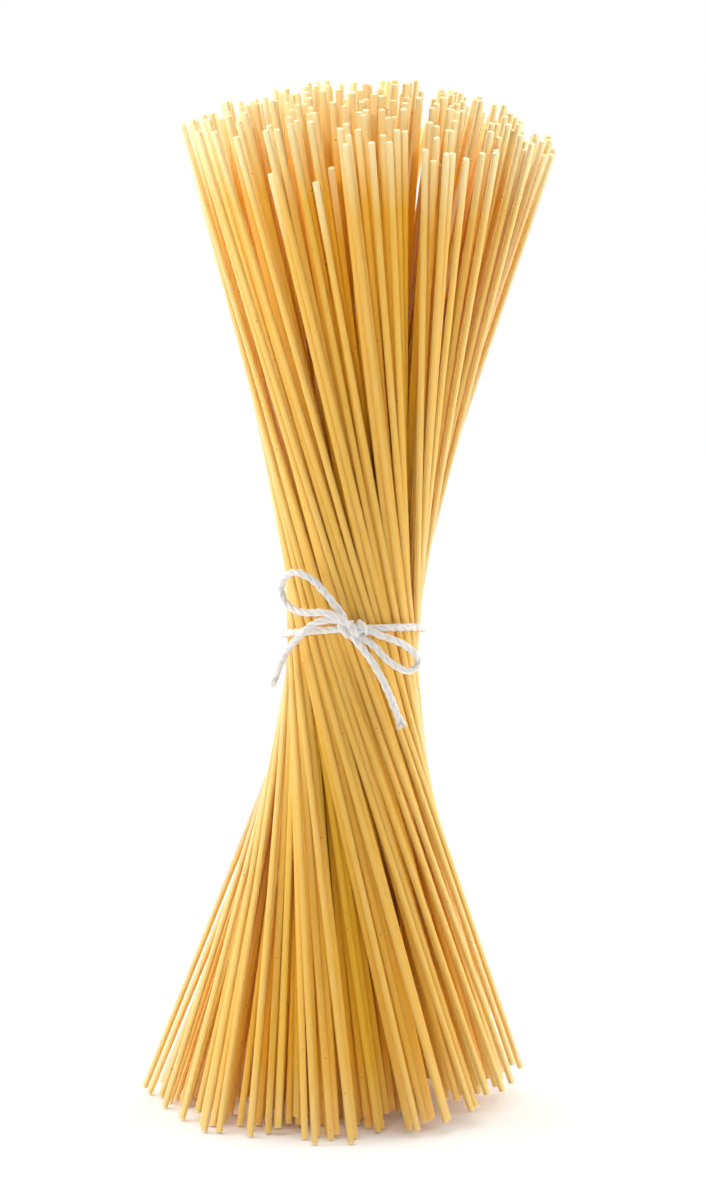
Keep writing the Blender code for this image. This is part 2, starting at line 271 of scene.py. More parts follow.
def travelled(paths):
    """How far along its path each point is."""
    steps = np.linalg.norm(np.diff(paths, axis=-2), axis=-1)
    return np.concatenate([np.zeros((*steps.shape[:-1], 1)), steps.cumsum(-1)], axis=-1)


def frames(paths):
    """Directions along and across each path, turned as little as possible from point to point."""
    along = unit(np.gradient(paths, axis=1))
    least = np.argmin(np.abs(along[:, 0]), axis=1)
    across = np.empty_like(along)
    across[:, 0] = unit(np.cross(along[:, 0], np.eye(3)[least]))
    for step in range(1, paths.shape[1]):
        before = across[:, step - 1]
        across[:, step] = unit(before - (before * along[:, step]).sum(1, keepdims=True) * along[:, step])
    return along, across, np.cross(along, across)


def tubes(paths, radii, sides, starts=0.0):
    """Points of round tubes along paths of (tube, ring, xyz), as (tube, ring, side, xyz)."""
    along, across, beside = frames(paths)
    angles = np.reshape(starts, (-1, 1)) + FULL_TURN * np.arange(sides) / sides
    ring = (np.cos(angles)[:, None, :, None] * across[:, :, None]
            + np.sin(angles)[:, None, :, None] * beside[:, :, None])
    return paths[:, :, None] + ring * np.reshape(radii, (*paths.shape[:2], 1, 1))


def straightened(chance, along, radii, sides):
    """Where tubes' points would be if each ran straight up from a place of its own, for patterns."""
    angles = FULL_TURN * np.arange(sides) / sides
    place = np.empty((*along.shape, sides, 3))
    place[..., 0] = radii * np.cos(angles)
    place[..., 1] = radii * np.sin(angles)
    place[..., 2] = along[..., None]
    return place + chance.uniform(0, 1, (len(along), 1, 1, 3))


def tube_faces(count, rings, sides, start=0, closed=False):
    """Quads of tubes whose points are numbered tube by tube, ring by ring."""
    ring = np.arange(rings if closed else rings - 1)
    corners = [(ring, 0), (ring, 1), ((ring + 1) % rings, 1), ((ring + 1) % rings, 0)]
    side = np.arange(sides)
    quads = np.stack([at[:, None] * sides + (side + step) % sides for at, step in corners], axis=-1)
    first = np.arange(count)[:, None, None, None] * rings * sides
    return (start + first + quads[None]).reshape(-1, 4)


def end_faces(count, rings, sides):
    """Triangles of tubes' end discs, feet then heads, whose middles are numbered after the tubes."""
    side = np.arange(sides)
    following = (side + 1) % sides
    first = np.arange(count)[:, None] * rings * sides
    last = first + (rings - 1) * sides
    middle = count * rings * sides + 2 * np.arange(count)[:, None] + 0 * side
    feet = np.stack([middle, first + following, first + side], axis=2)
    heads = np.stack([middle + 1, last + side, last + following], axis=2)
    return np.concatenate([feet.reshape(-1, 3), heads.reshape(-1, 3)])


def strip_map(along, sides, columns):
    """Where the corners of tubes' faces lie on the flat map, in the order of tube_faces and end_faces."""
    count, rings = along.shape
    steps = np.maximum(np.diff(along, axis=1), MAP_STEP)
    across = np.concatenate([np.zeros((count, 1)), steps.cumsum(1)], axis=1)
    across = MAP_ENDS + (1 - 2 * MAP_ENDS) * across / across[:, -1:]
    side = np.arange(sides)
    quads = np.empty((count, rings - 1, sides, 4, 2))
    for corner, (ring_step, side_step) in enumerate(((0, 0), (0, 1), (1, 1), (1, 0))):
        quads[..., corner, 0] = across[:, ring_step:rings - 1 + ring_step, None]
        quads[..., corner, 1] = 1 - MAP_SIDES - (1 - 2 * MAP_SIDES) * (side + side_step) / sides
    discs = []
    for middle, order, way in ((DISC_MIDDLE, (1, 0), -1), (1 - DISC_MIDDLE, (0, 1), 1)):
        disc = np.empty((sides, 3, 2))
        disc[:, 0] = (middle, 0.5)
        for corner, step in enumerate(order, start=1):
            angle = FULL_TURN * (side + step) / sides
            disc[:, corner, 0] = middle + DISC_LENGTH * np.cos(angle)
            disc[:, corner, 1] = 0.5 + way * DISC_WIDTH * np.sin(angle)
        discs.append(np.broadcast_to(disc, (count, sides, 3, 2)))
    tube = np.arange(count)
    strip = np.stack([tube % columns, tube // columns], axis=1)
    size = np.array([columns, math.ceil(count / columns)])
    return np.concatenate([((strip.reshape(count, *[1] * (part.ndim - 2), 2) + part) / size).reshape(-1, 2)
                           for part in (quads, *discs)])


def make_piece(name, points, quads, triangles, attributes, material, soften=None, flat_map=None):
    """A mesh piece with smooth faces, and named values at its points for the material.

    soften, if given, turns the points' normals into the ones that light falls on. flat_map, if given,
    holds a place on a flat map for each corner of each face.
    """
    mesh = bpy.data.meshes.new(name)
    mesh.vertices.add(len(points))
    mesh.vertices.foreach_set("co", np.asarray(points, dtype=np.float32).ravel())
    corners = np.concatenate([quads.ravel(), triangles.ravel()])
    totals = np.concatenate([np.full(len(quads), 4), np.full(len(triangles), 3)])
    mesh.loops.add(len(corners))
    mesh.loops.foreach_set("vertex_index", corners.astype(np.int32))
    mesh.polygons.add(len(totals))
    starts = np.concatenate([[0], np.cumsum(totals)[:-1]])
    mesh.polygons.foreach_set("loop_start", starts.astype(np.int32))
    mesh.polygons.foreach_set("use_smooth", np.ones(len(totals), dtype=bool))
    for label, values in attributes.items():
        values = np.asarray(values, dtype=np.float32)
        kind, field = ("FLOAT", "value") if values.ndim == 1 else ("FLOAT_VECTOR", "vector")
        mesh.attributes.new(label, kind, "POINT").data.foreach_set(field, values.ravel())
    mesh.update(calc_edges=True)
    mesh.validate()
    if soften:
        normals = np.empty(3 * len(points), dtype=np.float32)
        mesh.vertex_normals.foreach_get("vector", normals)
        mesh.normals_split_custom_set_from_vertices(soften(normals.reshape(-1, 3)))
    if flat_map is not None:
        mesh.uv_layers.new(name="OFBake").data.foreach_set("uv", flat_map.astype(np.float32).ravel())
    mesh.materials.append(material)
    piece = bpy.data.objects.new(name, mesh)
    bpy.context.scene.collection.objects.link(piece)
    return piece


# --- Materials --------------------------------------------------------------------------------------

def linear(code):
    """An sRGB colour in hex, as linear red, green, blue and alpha."""
    parts = [int(code[at:at + 2], 16) / 255 for at in (0, 2, 4)]
    return [*(part / 12.92 if part <= 0.04045 else ((part + 0.055) / 1.055) ** 2.4 for part in parts), 1.0]


def node(tree, kind, inputs=None, **settings):
    """Adds a node with its settings. inputs gives sockets, by name or number, a value or a socket."""
    made = tree.nodes.new(kind)
    for name, value in settings.items():
        setattr(made, name, value)
    for socket, value in (inputs or {}).items():
        if isinstance(value, bpy.types.NodeSocket):
            tree.links.new(value, made.inputs[socket])
        else:
            made.inputs[socket].default_value = value
    return made


def new_material(name):
    """An empty material, its nodes, and its output."""
    material = bpy.data.materials.new(name)
    material.use_nodes = True
    material.node_tree.nodes.clear()
    return material, material.node_tree, node(material.node_tree, "ShaderNodeOutputMaterial")


def extruded_durum_pasta():
    """Durum wheat dough, pressed through round holes and dried slowly.

    The eye sees a satin, amber rod that light soaks into. Faint, darker draw lines run along it, it is
    paler in patches where the starch lies dry, and it has a few brown specks of bran and pale flecks.
    Its tips are painted paler still, as a painted glow of light shining through them, and it has chalky cut
    ends.
    """
    material, tree, output = new_material("extruded_durum_pasta")
    place = node(tree, "ShaderNodeAttribute", attribute_name="noodle_place").outputs["Vector"]
    tone, cut, pale, deep_shade = (node(tree, "ShaderNodeAttribute", attribute_name=name).outputs["Fac"]
                              for name in ("noodle_tone", "cut_end", "tip_glow", "deep_shade"))

    lines_at = node(tree, "ShaderNodeVectorMath", {0: place, 1: [1 / size for size in DRAW_LINES]},
                    operation="MULTIPLY").outputs["Vector"]
    lines = node(tree, "ShaderNodeTexNoise",
                 {"Vector": lines_at, "Scale": 1.0, "Detail": 2.0}).outputs["Fac"]
    clouds_at = node(tree, "ShaderNodeVectorMath", {0: place, 1: [1 / size for size in STARCH_CLOUDS]},
                     operation="MULTIPLY").outputs["Vector"]
    clouds = node(tree, "ShaderNodeTexNoise",
                  {"Vector": clouds_at, "Scale": 1.0, "Detail": 3.0}).outputs["Fac"]
    drawn = node(tree, "ShaderNodeMapRange", {"Value": lines, "From Min": 0.35, "From Max": 0.65,
                                              "To Max": 0.14}).outputs["Result"]
    dry = node(tree, "ShaderNodeMapRange", {"Value": clouds, "From Min": 0.45, "From Max": 0.75,
                                            "To Max": 0.45}).outputs["Result"]

    # Bran specks 0.3 mm across, and pale flecks a little larger
    specks = node(tree, "ShaderNodeTexVoronoi", {"Vector": place, "Scale": 1 / BRAN_SPACING})
    speck = node(tree, "ShaderNodeMapRange", {"Value": specks.outputs["Distance"], "From Min": 0.065,
                                              "From Max": 0.035, "To Max": 0.85}).outputs["Result"]
    flecks = node(tree, "ShaderNodeTexVoronoi", {"Vector": place, "Scale": 1 / FLECK_SPACING})
    fleck = node(tree, "ShaderNodeMapRange", {"Value": flecks.outputs["Distance"], "From Min": 0.085,
                                              "From Max": 0.045, "To Max": 0.5}).outputs["Result"]
    chalk = node(tree, "ShaderNodeMath", {0: cut, 1: 0.7}, operation="MULTIPLY").outputs[0]

    base = node(tree, "ShaderNodeMix", {0: tone, 6: linear("F1BC4C"), 7: linear("F5C35A")},
                data_type="RGBA").outputs[2]
    # Each of these lies over the ones before it. The deeper amber on noodles deep in the bundle is painted
    # shade, for light that has soaked through others, and the paler tips are a painted glow of light shining
    # through them.
    for share, colour in ((dry, "F4C878"), (drawn, "E9B04A"), (deep_shade, "F6BE20"), (pale, "FFE8AC"),
                          (fleck, "F8DEA8"), (speck, "8A5A22"), (chalk, "FBEBC4")):
        base = node(tree, "ShaderNodeMix", {0: share, 6: base, 7: linear(colour)},
                    data_type="RGBA").outputs[2]

    satin = node(tree, "ShaderNodeMapRange",
                 {"Value": lines, "To Min": 0.56, "To Max": 0.68}).outputs["Result"]
    rough = node(tree, "ShaderNodeMix", {0: cut, 2: satin, 3: 0.8}).outputs[0]
    bump = node(tree, "ShaderNodeBump", {"Height": lines, "Strength": 0.2, "Distance": 0.02 * MM}).outputs[0]
    pasta = node(tree, "ShaderNodeBsdfPrincipled", {
        "Base Color": base, "Roughness": rough, "Normal": bump, "IOR": 1.5, "Specular IOR Level": 0.3,
        "Sheen Weight": 0.9, "Sheen Roughness": 0.45, "Sheen Tint": linear("FFF4DC")})
    tree.links.new(pasta.outputs[0], output.inputs["Surface"])
    return material


def twisted_bleached_cotton():
    """Bleached cotton, spun into plies and twisted.

    The eye sees a matt, soft white with grey between the plies, fine fibres running along each ply,
    and a faint halo of loose ones. Real fibres are 0.02 mm thick, and are drawn 0.12 mm apart, which
    is the finest that shows.
    """
    material, tree, output = new_material("twisted_bleached_cotton")
    place = node(tree, "ShaderNodeAttribute", attribute_name="ply_place").outputs["Vector"]
    fibres_at = node(tree, "ShaderNodeVectorMath", {0: place, 1: [1 / size for size in COTTON_FIBRES]},
                     operation="MULTIPLY").outputs["Vector"]
    fibres = node(tree, "ShaderNodeTexNoise",
                  {"Vector": fibres_at, "Scale": 1.0, "Detail": 3.0}).outputs["Fac"]
    shade = node(tree, "ShaderNodeMapRange",
                 {"Value": fibres, "From Min": 0.3, "From Max": 0.6}).outputs["Result"]
    base = node(tree, "ShaderNodeMix", {0: shade, 6: linear("D9D6D2"), 7: linear("F4F2EF")},
                data_type="RGBA").outputs[2]
    bump = node(tree, "ShaderNodeBump", {"Height": fibres, "Strength": 0.8, "Distance": 0.05 * MM}).outputs[0]
    cotton = node(tree, "ShaderNodeBsdfPrincipled", {
        "Base Color": base, "Roughness": 0.9, "Normal": bump, "Specular IOR Level": 0.2,
        "Sheen Weight": 0.25, "Sheen Roughness": 0.5,
        "Subsurface Weight": 0.35, "Subsurface Radius": (1.0, 1.0, 1.0), "Subsurface Scale": 0.3 * MM})
    tree.links.new(cotton.outputs[0], output.inputs["Surface"])
    return material


def white_studio_paper():
    """Pressed paper for a studio's floor. The eye sees an even, matt white."""
    material, tree, output = new_material("white_studio_paper")
    paper = node(tree, "ShaderNodeBsdfPrincipled", {"Base Color": linear("ECEBE9"), "Roughness": 0.95,
                                                    "Specular IOR Level": 0.1})
    tree.links.new(paper.outputs[0], output.inputs["Surface"])
    return material


# --- Noodles ----------------------------------------------------------------------------------------

def reach(height):
    """How far a noodle's upper and lower slants have carried it at this height, and their rates."""
    rise = height - WAIST_HEIGHT
    bend = np.hypot(rise, BEND_LENGTH)
    upper = (rise + bend - BEND_LENGTH) / 2
    lower = (rise - bend + BEND_LENGTH) / 2
    return upper, lower, (1 + rise / bend) / 2, (1 - rise / bend) / 2


def flare(up, down):
    """How many times wider than at its waist the bundle is, from what reach gives."""
    return np.hypot(1, SLANT_ABOVE * up + SLANT_BELOW * down)


def axis_x(height):
    """Where the leaning bundle's axis is at this height."""
    return BASE_CENTRE_X + height * math.tan(LEAN)


def sunflower(count, radius):
    """Evenly spread places in a disc, like the seeds of a sunflower."""
    number = np.arange(count)
    distance = radius * np.sqrt((number + 0.5) / count)
    angle = GOLDEN_ANGLE * number
    return np.stack([distance * np.cos(angle), distance * np.sin(angle)], axis=1)


def twisted(places):
    """The sideways run per metre and per unit of slant, of a noodle at this place of the waist."""
    return np.stack([places[:, 1], -places[:, 0]], axis=1)


def pushes(at, slope, gap):
    """How far each noodle must move at one height so that no two are closer than gap."""
    apart = at[:, None] - at[None]
    shared = (slope[:, None] + slope[None]) / 2
    along = (apart * shared).sum(2) / (1 + (shared ** 2).sum(2))
    across = apart - along[..., None] * shared
    distance = np.sqrt(np.maximum((apart * across).sum(2), 1e-12))
    overlap = np.maximum(gap - distance, 0)
    np.fill_diagonal(overlap, 0)
    return (0.5 * (overlap / distance)[..., None] * across).sum(1)  # each of two moves half the way


def settle(waist, upper, lower):
    """Moves and turns the noodles, still straight, until they lie beside each other."""
    heights = WAIST_HEIGHT + SETTLE_AT
    up, down, up_rate, down_rate = reach(heights)
    shapes = np.stack([np.ones_like(up), up, down], axis=1)
    fit = np.linalg.solve(shapes.T @ shapes + np.diag(SETTLE_HOLD), shapes.T)
    sideways = flare(up, down)
    for _ in range(SETTLE_ROUNDS):
        moves = np.empty((len(heights), *waist.shape))
        for level in range(len(heights)):
            at = waist + upper * up[level] + lower * down[level]
            slope = upper * up_rate[level] + lower * down_rate[level]
            moves[level] = pushes(at, slope, SETTLE_GAP)
            distance = np.linalg.norm(at, axis=1, keepdims=True)
            tight = abs(heights[level] - WAIST_HEIGHT) < TIGHT_REACH
            room = OUTER_NOODLES * sideways[level] + (0 if tight else LOOSE_ROOM)
            moves[level] -= at * np.maximum(0, 1 - room / distance)
        change = np.einsum("pl,lnc->pnc", fit, moves) * SETTLE_HASTE
        waist, upper, lower = waist + change[0], upper + change[1], lower + change[2]
    return waist, upper, lower


def lay_noodles(chance):
    """Where each noodle crosses the waist, and its slants above and below it."""
    waist = sunflower(NOODLES, OUTER_NOODLES)
    waist += chance.normal(0, PLACE_SCATTER, waist.shape)
    middles = sunflower(CLUMPS, WAIST_RADIUS) + chance.normal(0, CLUMP_SCATTER, (CLUMPS, 2))
    nearest = np.argmin(np.linalg.norm(waist[:, None] - middles[None], axis=2), axis=1)
    grip = (CLING_LEAST + CLING_VARIES * chance.random(CLUMPS))[nearest, None]
    pull = CLING * (middles[nearest] - waist) * grip
    outward = waist / OUTER_NOODLES
    led_by = waist + pull - outward * (pull * outward).sum(1, keepdims=True)
    own = chance.normal(0, STRAY_SLOPE, waist.shape)
    run = twisted(led_by)
    waist, upper, lower = settle(waist, SLANT_ABOVE * run + own, SLANT_BELOW * run + own)

    # One noodle stands out from the rest at the top right, and one at the bottom left
    reach_up, reach_down = reach(NOODLE_LENGTH)[0], reach(0.0)[1]
    upper[np.argmax((waist + upper * reach_up)[:, 0]), 0] += STANDS_OUT_ABOVE / reach_up
    lower[np.argmin((waist + lower * reach_down)[:, 0]), 0] -= STANDS_OUT_BELOW / reach_down
    return waist, upper, lower


def noodle_ends(chance, waist, upper, lower):
    """The heights of each noodle's bottom and top."""
    foot = waist + lower * reach(0.0)[1]
    to_the_right = np.maximum(0, foot[:, 0] / (OUTER_NOODLES * math.hypot(1, SLANT_BELOW * WAIST_HEIGHT)))
    lift = RAISED_AT_RIGHT * np.clip((to_the_right - LEVEL_PART) / (1 - LEVEL_PART), 0, 1)
    loose = (chance.random(NOODLES) < RAISED_NOODLES) & (np.linalg.norm(waist, axis=1) > FLAT_MIDDLE)
    tilt = np.linalg.norm(lower, axis=1)
    run_below = np.hypot(1, tilt)
    run_above = np.hypot(1, np.linalg.norm(upper, axis=1))
    standing = TABLE + NOODLE_DIAMETER / 2 * tilt / run_below + CLEAR_OF_TABLE + lift
    bottom = standing + loose * chance.uniform(*RAISED_BY, NOODLES)
    length = NOODLE_LENGTH - np.abs(chance.normal(0, TOP_SCATTER, NOODLES))
    length -= (chance.random(NOODLES) < SHORT_NOODLES) * chance.uniform(*SHORTEST_BY, NOODLES)
    top = WAIST_HEIGHT + (length - (WAIST_HEIGHT - standing) * run_below) / run_above
    return bottom, top


def noodle_paths(chance, waist, upper, lower, bottom, top):
    """Points along each noodle's middle as (noodle, ring, xyz), closer together near the tie."""
    part = np.linspace(-1, 1, BODY_RINGS)
    part = np.sign(part) * np.abs(part) ** RINGS_TO_WAIST
    reach_up = (top - WAIST_HEIGHT)[:, None] * np.maximum(part, 0)
    reach_down = (WAIST_HEIGHT - bottom)[:, None] * np.minimum(part, 0)
    height = WAIST_HEIGHT + reach_up + reach_down
    inside = np.array([ring[0] for ring in END_RINGS])
    height = np.concatenate([bottom[:, None] + inside[::-1], height[:, 1:-1], top[:, None] - inside], axis=1)
    up, down = reach(height)[:2]
    across = waist[:, None] + upper[:, None] * up[..., None] + lower[:, None] * down[..., None]
    bow = chance.normal(0, BOW, (NOODLES, 1, 2))
    across = across + bow * (((height - WAIST_HEIGHT) / BOW_REACH) ** 2)[..., None]
    return np.stack([across[..., 0] + axis_x(height), across[..., 1], height], axis=2)


def out_of_bundle(paths):
    """At each ring, the way out of the bundle at right angles to the noodle, and how much painted shade it
    gets from how deep it lies.

    The way out is shorter near the axis. The painted shade is 0 for outer noodles and 1 well inside.
    """
    height = paths[..., 2]
    away = paths - np.stack([axis_x(height), 0 * height, height], axis=-1)
    edge = OUTER_NOODLES * flare(*reach(height)[:2])
    deep_shade = np.clip((1 - np.linalg.norm(away, axis=-1) / edge - DEEP_SHADE_FROM) / (DEEP_SHADE_FULL - DEEP_SHADE_FROM), 0, 1)
    along = unit(np.gradient(paths, axis=1))
    away -= (away * along).sum(-1, keepdims=True) * along
    distance = np.linalg.norm(away, axis=-1)
    return away / np.maximum(distance, NEAR_AXIS * edge)[..., None], deep_shade


def ring_shares(rings):
    """How wide each ring of a noodle is, and how far it belongs to a cut end."""
    widths, cuts = np.ones(rings), np.zeros(rings)
    for number, (_, width, cut) in enumerate(END_RINGS):
        for ring in (len(END_RINGS) - 1 - number, rings - len(END_RINGS) + number):
            widths[ring] = width
            cuts[ring] = cut
    return widths, cuts


def cut_aslant(chance, points, paths):
    """Slants each noodle's two ends a little, as its cuts did."""
    for ring, lowest in ((0, 0), (-1, -CUT_DEPTH)):
        aside = (points[:, ring] - paths[:, ring, None])[..., :2]
        slant = chance.normal(0, math.tan(CUT_SLANT) / 2, (NOODLES, 1, 2))
        points[:, ring, :, 2] += np.maximum((aside * slant).sum(2), lowest)


def make_noodles(material):
    """Every noodle of the bundle, joined as one piece."""
    chance = np.random.default_rng(SEED)
    waist, upper, lower = lay_noodles(chance)
    bottom, top = noodle_ends(chance, waist, upper, lower)
    paths = noodle_paths(chance, waist, upper, lower, bottom, top)
    rings = paths.shape[1]
    widths, cuts = ring_shares(rings)
    radii = NOODLE_DIAMETER / 2 * chance.normal(1, THICKNESS_SCATTER, (NOODLES, 1)) * widths
    points = tubes(paths, radii, NOODLE_SIDES, chance.uniform(0, FULL_TURN, NOODLES))
    cut_aslant(chance, points, paths)
    middles = points[:, [0, -1]].mean(2)

    along = travelled(paths)
    place = straightened(chance, along, radii[..., None], NOODLE_SIDES)
    tone = np.clip(chance.normal(TONE, TONE_SCATTER, NOODLES), 0, 1)
    to_top = along[:, -1:] - along
    # Painted glow: the ends are painted paler, most at the top, for light shining through the tips.
    pale = (TIP_GLOW_TOP * np.maximum(0, 1 - to_top / TIP_GLOW_REACH) ** TIP_GLOW_FADE
            + TIP_GLOW_BOTTOM * np.maximum(0, 1 - along / TIP_GLOW_REACH) ** TIP_GLOW_FADE)
    # how deep a noodle lies sets its painted shade, a deeper amber
    outward, deep_shade = out_of_bundle(paths)

    def at_points(shares, at_middles):
        """One value at each point of the noodles, and at the middles of their ends."""
        return np.concatenate([np.broadcast_to(shares, points.shape[:3]).ravel(), at_middles])

    attributes = {
        "noodle_place": np.concatenate([place.reshape(-1, 3), place[:, [0, -1]].mean(2).reshape(-1, 3)]),
        "noodle_tone": at_points(tone[:, None, None], np.repeat(tone, 2)),
        "tip_glow": at_points(pale[..., None], np.tile([TIP_GLOW_BOTTOM, TIP_GLOW_TOP], NOODLES)),
        "deep_shade": at_points(deep_shade[..., None], np.zeros(2 * NOODLES)),
        "cut_end": at_points(cuts[:, None], np.ones(2 * NOODLES)),
    }
    outward = np.broadcast_to(outward[:, :, None], points.shape).reshape(-1, 3)
    glow = np.broadcast_to((1 - cuts)[None, :, None], points.shape[:3]).reshape(-1, 1)

    def soften(normals):
        """Light soaks through a noodle, so the side that faces out of the bundle is lit as one."""
        facing = (normals[:len(outward)] * outward).sum(1, keepdims=True)
        share = np.clip((facing - LIT_FROM) / LIT_OVER, 0, 1)
        share = share * share * (3 - 2 * share) * glow
        soft = normals.copy()
        soft[:len(outward)] = unit(normals[:len(outward)] + SOFTNESS * share * outward)
        return soft

    return make_piece("spaghetti_noodles", np.concatenate([points.reshape(-1, 3), middles.reshape(-1, 3)]),
                      tube_faces(NOODLES, rings, NOODLE_SIDES), end_faces(NOODLES, rings, NOODLE_SIDES),
                      attributes, material, soften, strip_map(along, NOODLE_SIDES, MAP_COLUMNS))


def make_core(material):
    """A closed, waisted length of pasta that no light passes, in the middle of the tight noodles."""
    height = WAIST_HEIGHT + CORE_REACH * np.linspace(-1, 1, CORE_RINGS)
    radius = CORE_SHARE * OUTER_NOODLES * flare(*reach(height)[:2])
    path = np.stack([axis_x(height), 0 * height, height], axis=1)
    skin = tubes(path[None], radius[None], CORE_SIDES).reshape(-1, 3)
    points = np.concatenate([skin, path[[0, -1]]])
    # the core is painted wholly in the deep noodles' amber shade
    attributes = {"noodle_place": points, "noodle_tone": np.full(len(points), TONE),
                  "deep_shade": np.ones(len(points))}
    return make_piece("pasta_core", points, tube_faces(1, CORE_RINGS, CORE_SIDES),
                      end_faces(1, CORE_RINGS, CORE_SIDES), attributes, material,
                      flat_map=strip_map(height[None] - height[0], CORE_SIDES, 1))


# --- Twine ------------------------------------------------------------------------------------------

def tie_place(around, up, out):
    """Places near the tie, from distances round the bundle to the right, upwards and outwards."""
    angle = np.asarray(around) / TIE_RADIUS
    radius = TIE_RADIUS + np.asarray(out)
    height = TIE_HEIGHT + TIE_RADIUS * math.tan(TIE_TILT) + np.asarray(up)
    return np.stack([radius * np.sin(angle) + axis_x(TIE_HEIGHT), -radius * np.cos(angle), height], axis=-1)


def band_route():
    """The twine round the waist, in a tilted plane."""
    angle = FULL_TURN * np.arange(BAND_POINTS) / BAND_POINTS
    drop = TIE_RADIUS * (1 - np.cos(angle)) * math.tan(TIE_TILT)
    return tie_place(angle * TIE_RADIUS, TIE_RADIUS * np.sin(angle) * math.tan(TIE_ROLL) - drop, 0 * angle)


def evenly(points, step):
    """Points a step apart along a line of points."""
    at = travelled(points)
    wanted = np.linspace(0, at[-1], max(4, round(at[-1] / step) + 1))
    return np.stack([np.interp(wanted, at, points[:, axis]) for axis in range(3)], axis=1)


def smooth(corners, step, closed=False):
    """Evenly spaced points on a smooth curve through the corners."""
    if closed:
        padded = np.concatenate([corners[-1:], corners, corners[:2]])
    else:
        padded = np.concatenate([2 * corners[:1] - corners[1:2], corners, 2 * corners[-1:] - corners[-2:-1]])
    part = np.arange(CURVE_STEPS)[:, None] / CURVE_STEPS
    fine = []
    for before, start, end, after in zip(padded, padded[1:], padded[2:], padded[3:]):
        fine.append(0.5 * (2 * start + (end - before) * part
                           + (2 * before - 5 * start + 4 * end - after) * part ** 2
                           + (3 * start - before - 3 * end + after) * part ** 3))
    last = corners[:1] if closed else corners[-1:]
    points = evenly(np.concatenate(fine + [last]), step)
    return points[:-1] if closed else points


def bow_route(route):
    """One of the bow's routes, as a smooth line of points."""
    around, up, out = np.array(route).T * MM
    return smooth(tie_place(around, up, out), PLY_STEP)


class Twine:
    """Gathers the plies and loose fibres of the twine."""

    def __init__(self, chance):
        self.chance = chance
        self.points, self.places, self.faces = [], [], []
        self.count = 0

    def add(self, paths, radii, sides, closed=False):
        """Adds a tube along each path."""
        self.faces.append(tube_faces(len(paths), paths.shape[1], sides, self.count, closed))
        self.points.append(tubes(paths, radii, sides).reshape(-1, 3))
        self.places.append(straightened(self.chance, travelled(paths), PLY_RADIUS, sides).reshape(-1, 3))
        self.count += len(self.points[-1])

    def lay(self, route, closed=False, parted=0.0, taper=0.0):
        """Three plies round a route. At its end they part by this share, or thin out over taper."""
        along, across, beside = (part[0] for part in frames(route[None]))
        if closed:
            along = unit(np.roll(route, -1, axis=0) - np.roll(route, 1, axis=0))
        at = travelled(route)
        length = at[-1] + (np.linalg.norm(route[0] - route[-1]) if closed else 0)
        turns = max(1, round(length / PITCH)) if closed else length / PITCH
        to_end = at[-1] - at
        parting = 1 + parted * np.clip(1 - to_end / PARTING_REACH, 0, 1) ** 2
        thinning = np.clip(to_end / taper, TAPER_LEAST, 1) ** 0.5 if taper else 1.0
        start = self.chance.uniform(0, FULL_TURN)
        for ply in range(PLIES):
            angle = start + FULL_TURN * (turns * at / length + ply / PLIES)
            offset = LAY_RADIUS * parting * (1 + WANDER * np.sin(at / WANDER_LENGTH + 2 * ply))
            outward = np.cos(angle)[:, None] * across + np.sin(angle)[:, None] * beside
            path = route + offset[:, None] * outward
            radius = PLY_RADIUS * (1 + SLUB * np.sin(at / SLUB_LENGTH + 4 * ply)) * thinning
            self.add(path[None], np.broadcast_to(radius, (1, len(route))), PLY_SIDES, closed)
        self.fuzz(route, along, round(FUZZ_PER_MM * length / MM))

    def fuzz(self, route, along, count):
        """Loose ends of fibres that stand off the twine."""
        at = self.chance.integers(1, len(route) - 1, count)
        outward = unit(np.cross(along[at], unit(self.chance.normal(0, 1, (count, 3)))))
        start = route[at] + outward * FIBRE_ROOT
        lean = unit(outward + along[at] * self.chance.normal(0, FUZZ_LEAN, (count, 1)))
        curl = self.chance.normal(0, FUZZ_CURL, (count, 3))
        length = self.chance.uniform(*FUZZ_LENGTHS, (count, 1)) * MM
        part = np.linspace(0, 1, FUZZ_POINTS)[None, :, None]
        paths = start[:, None] + (lean[:, None] * part + curl[:, None] * part ** 2 * 0.6) * length[:, None]
        radii = FUZZ_THICKNESS * (1.2 - 0.9 * part[..., 0]) * np.ones((count, 1))
        self.add(paths, radii, FIBRE_SIDES)

    def fray(self, route, count, length, spread, thick):
        """The loose fibres at a route's cut end."""
        end = route[-1]
        along = unit(end - route[FRAY_HEADING])
        side = self.chance.normal(0, 1, (count, 3))
        side -= (side @ along)[:, None] * along
        side = unit(side) * np.sqrt(self.chance.random((count, 1)))
        reach_out = length * self.chance.uniform(0.6, 1, (count, 1))
        part = np.linspace(0, 1, FRAY_POINTS)[None, :, None]
        curl = self.chance.normal(0, FRAY_CURL, (count, 1, 3)) * reach_out[:, None] * part ** 2
        paths = (end - along * FRAY_BEFORE + side[:, None] * (FIBRE_ROOT + spread * part ** 1.3)
                 + along * (reach_out[:, None] + FRAY_BEFORE) * part + curl)
        radii = thick * (1.1 - 0.7 * part[..., 0]) * np.ones((count, 1))
        self.add(paths, radii, FIBRE_SIDES)


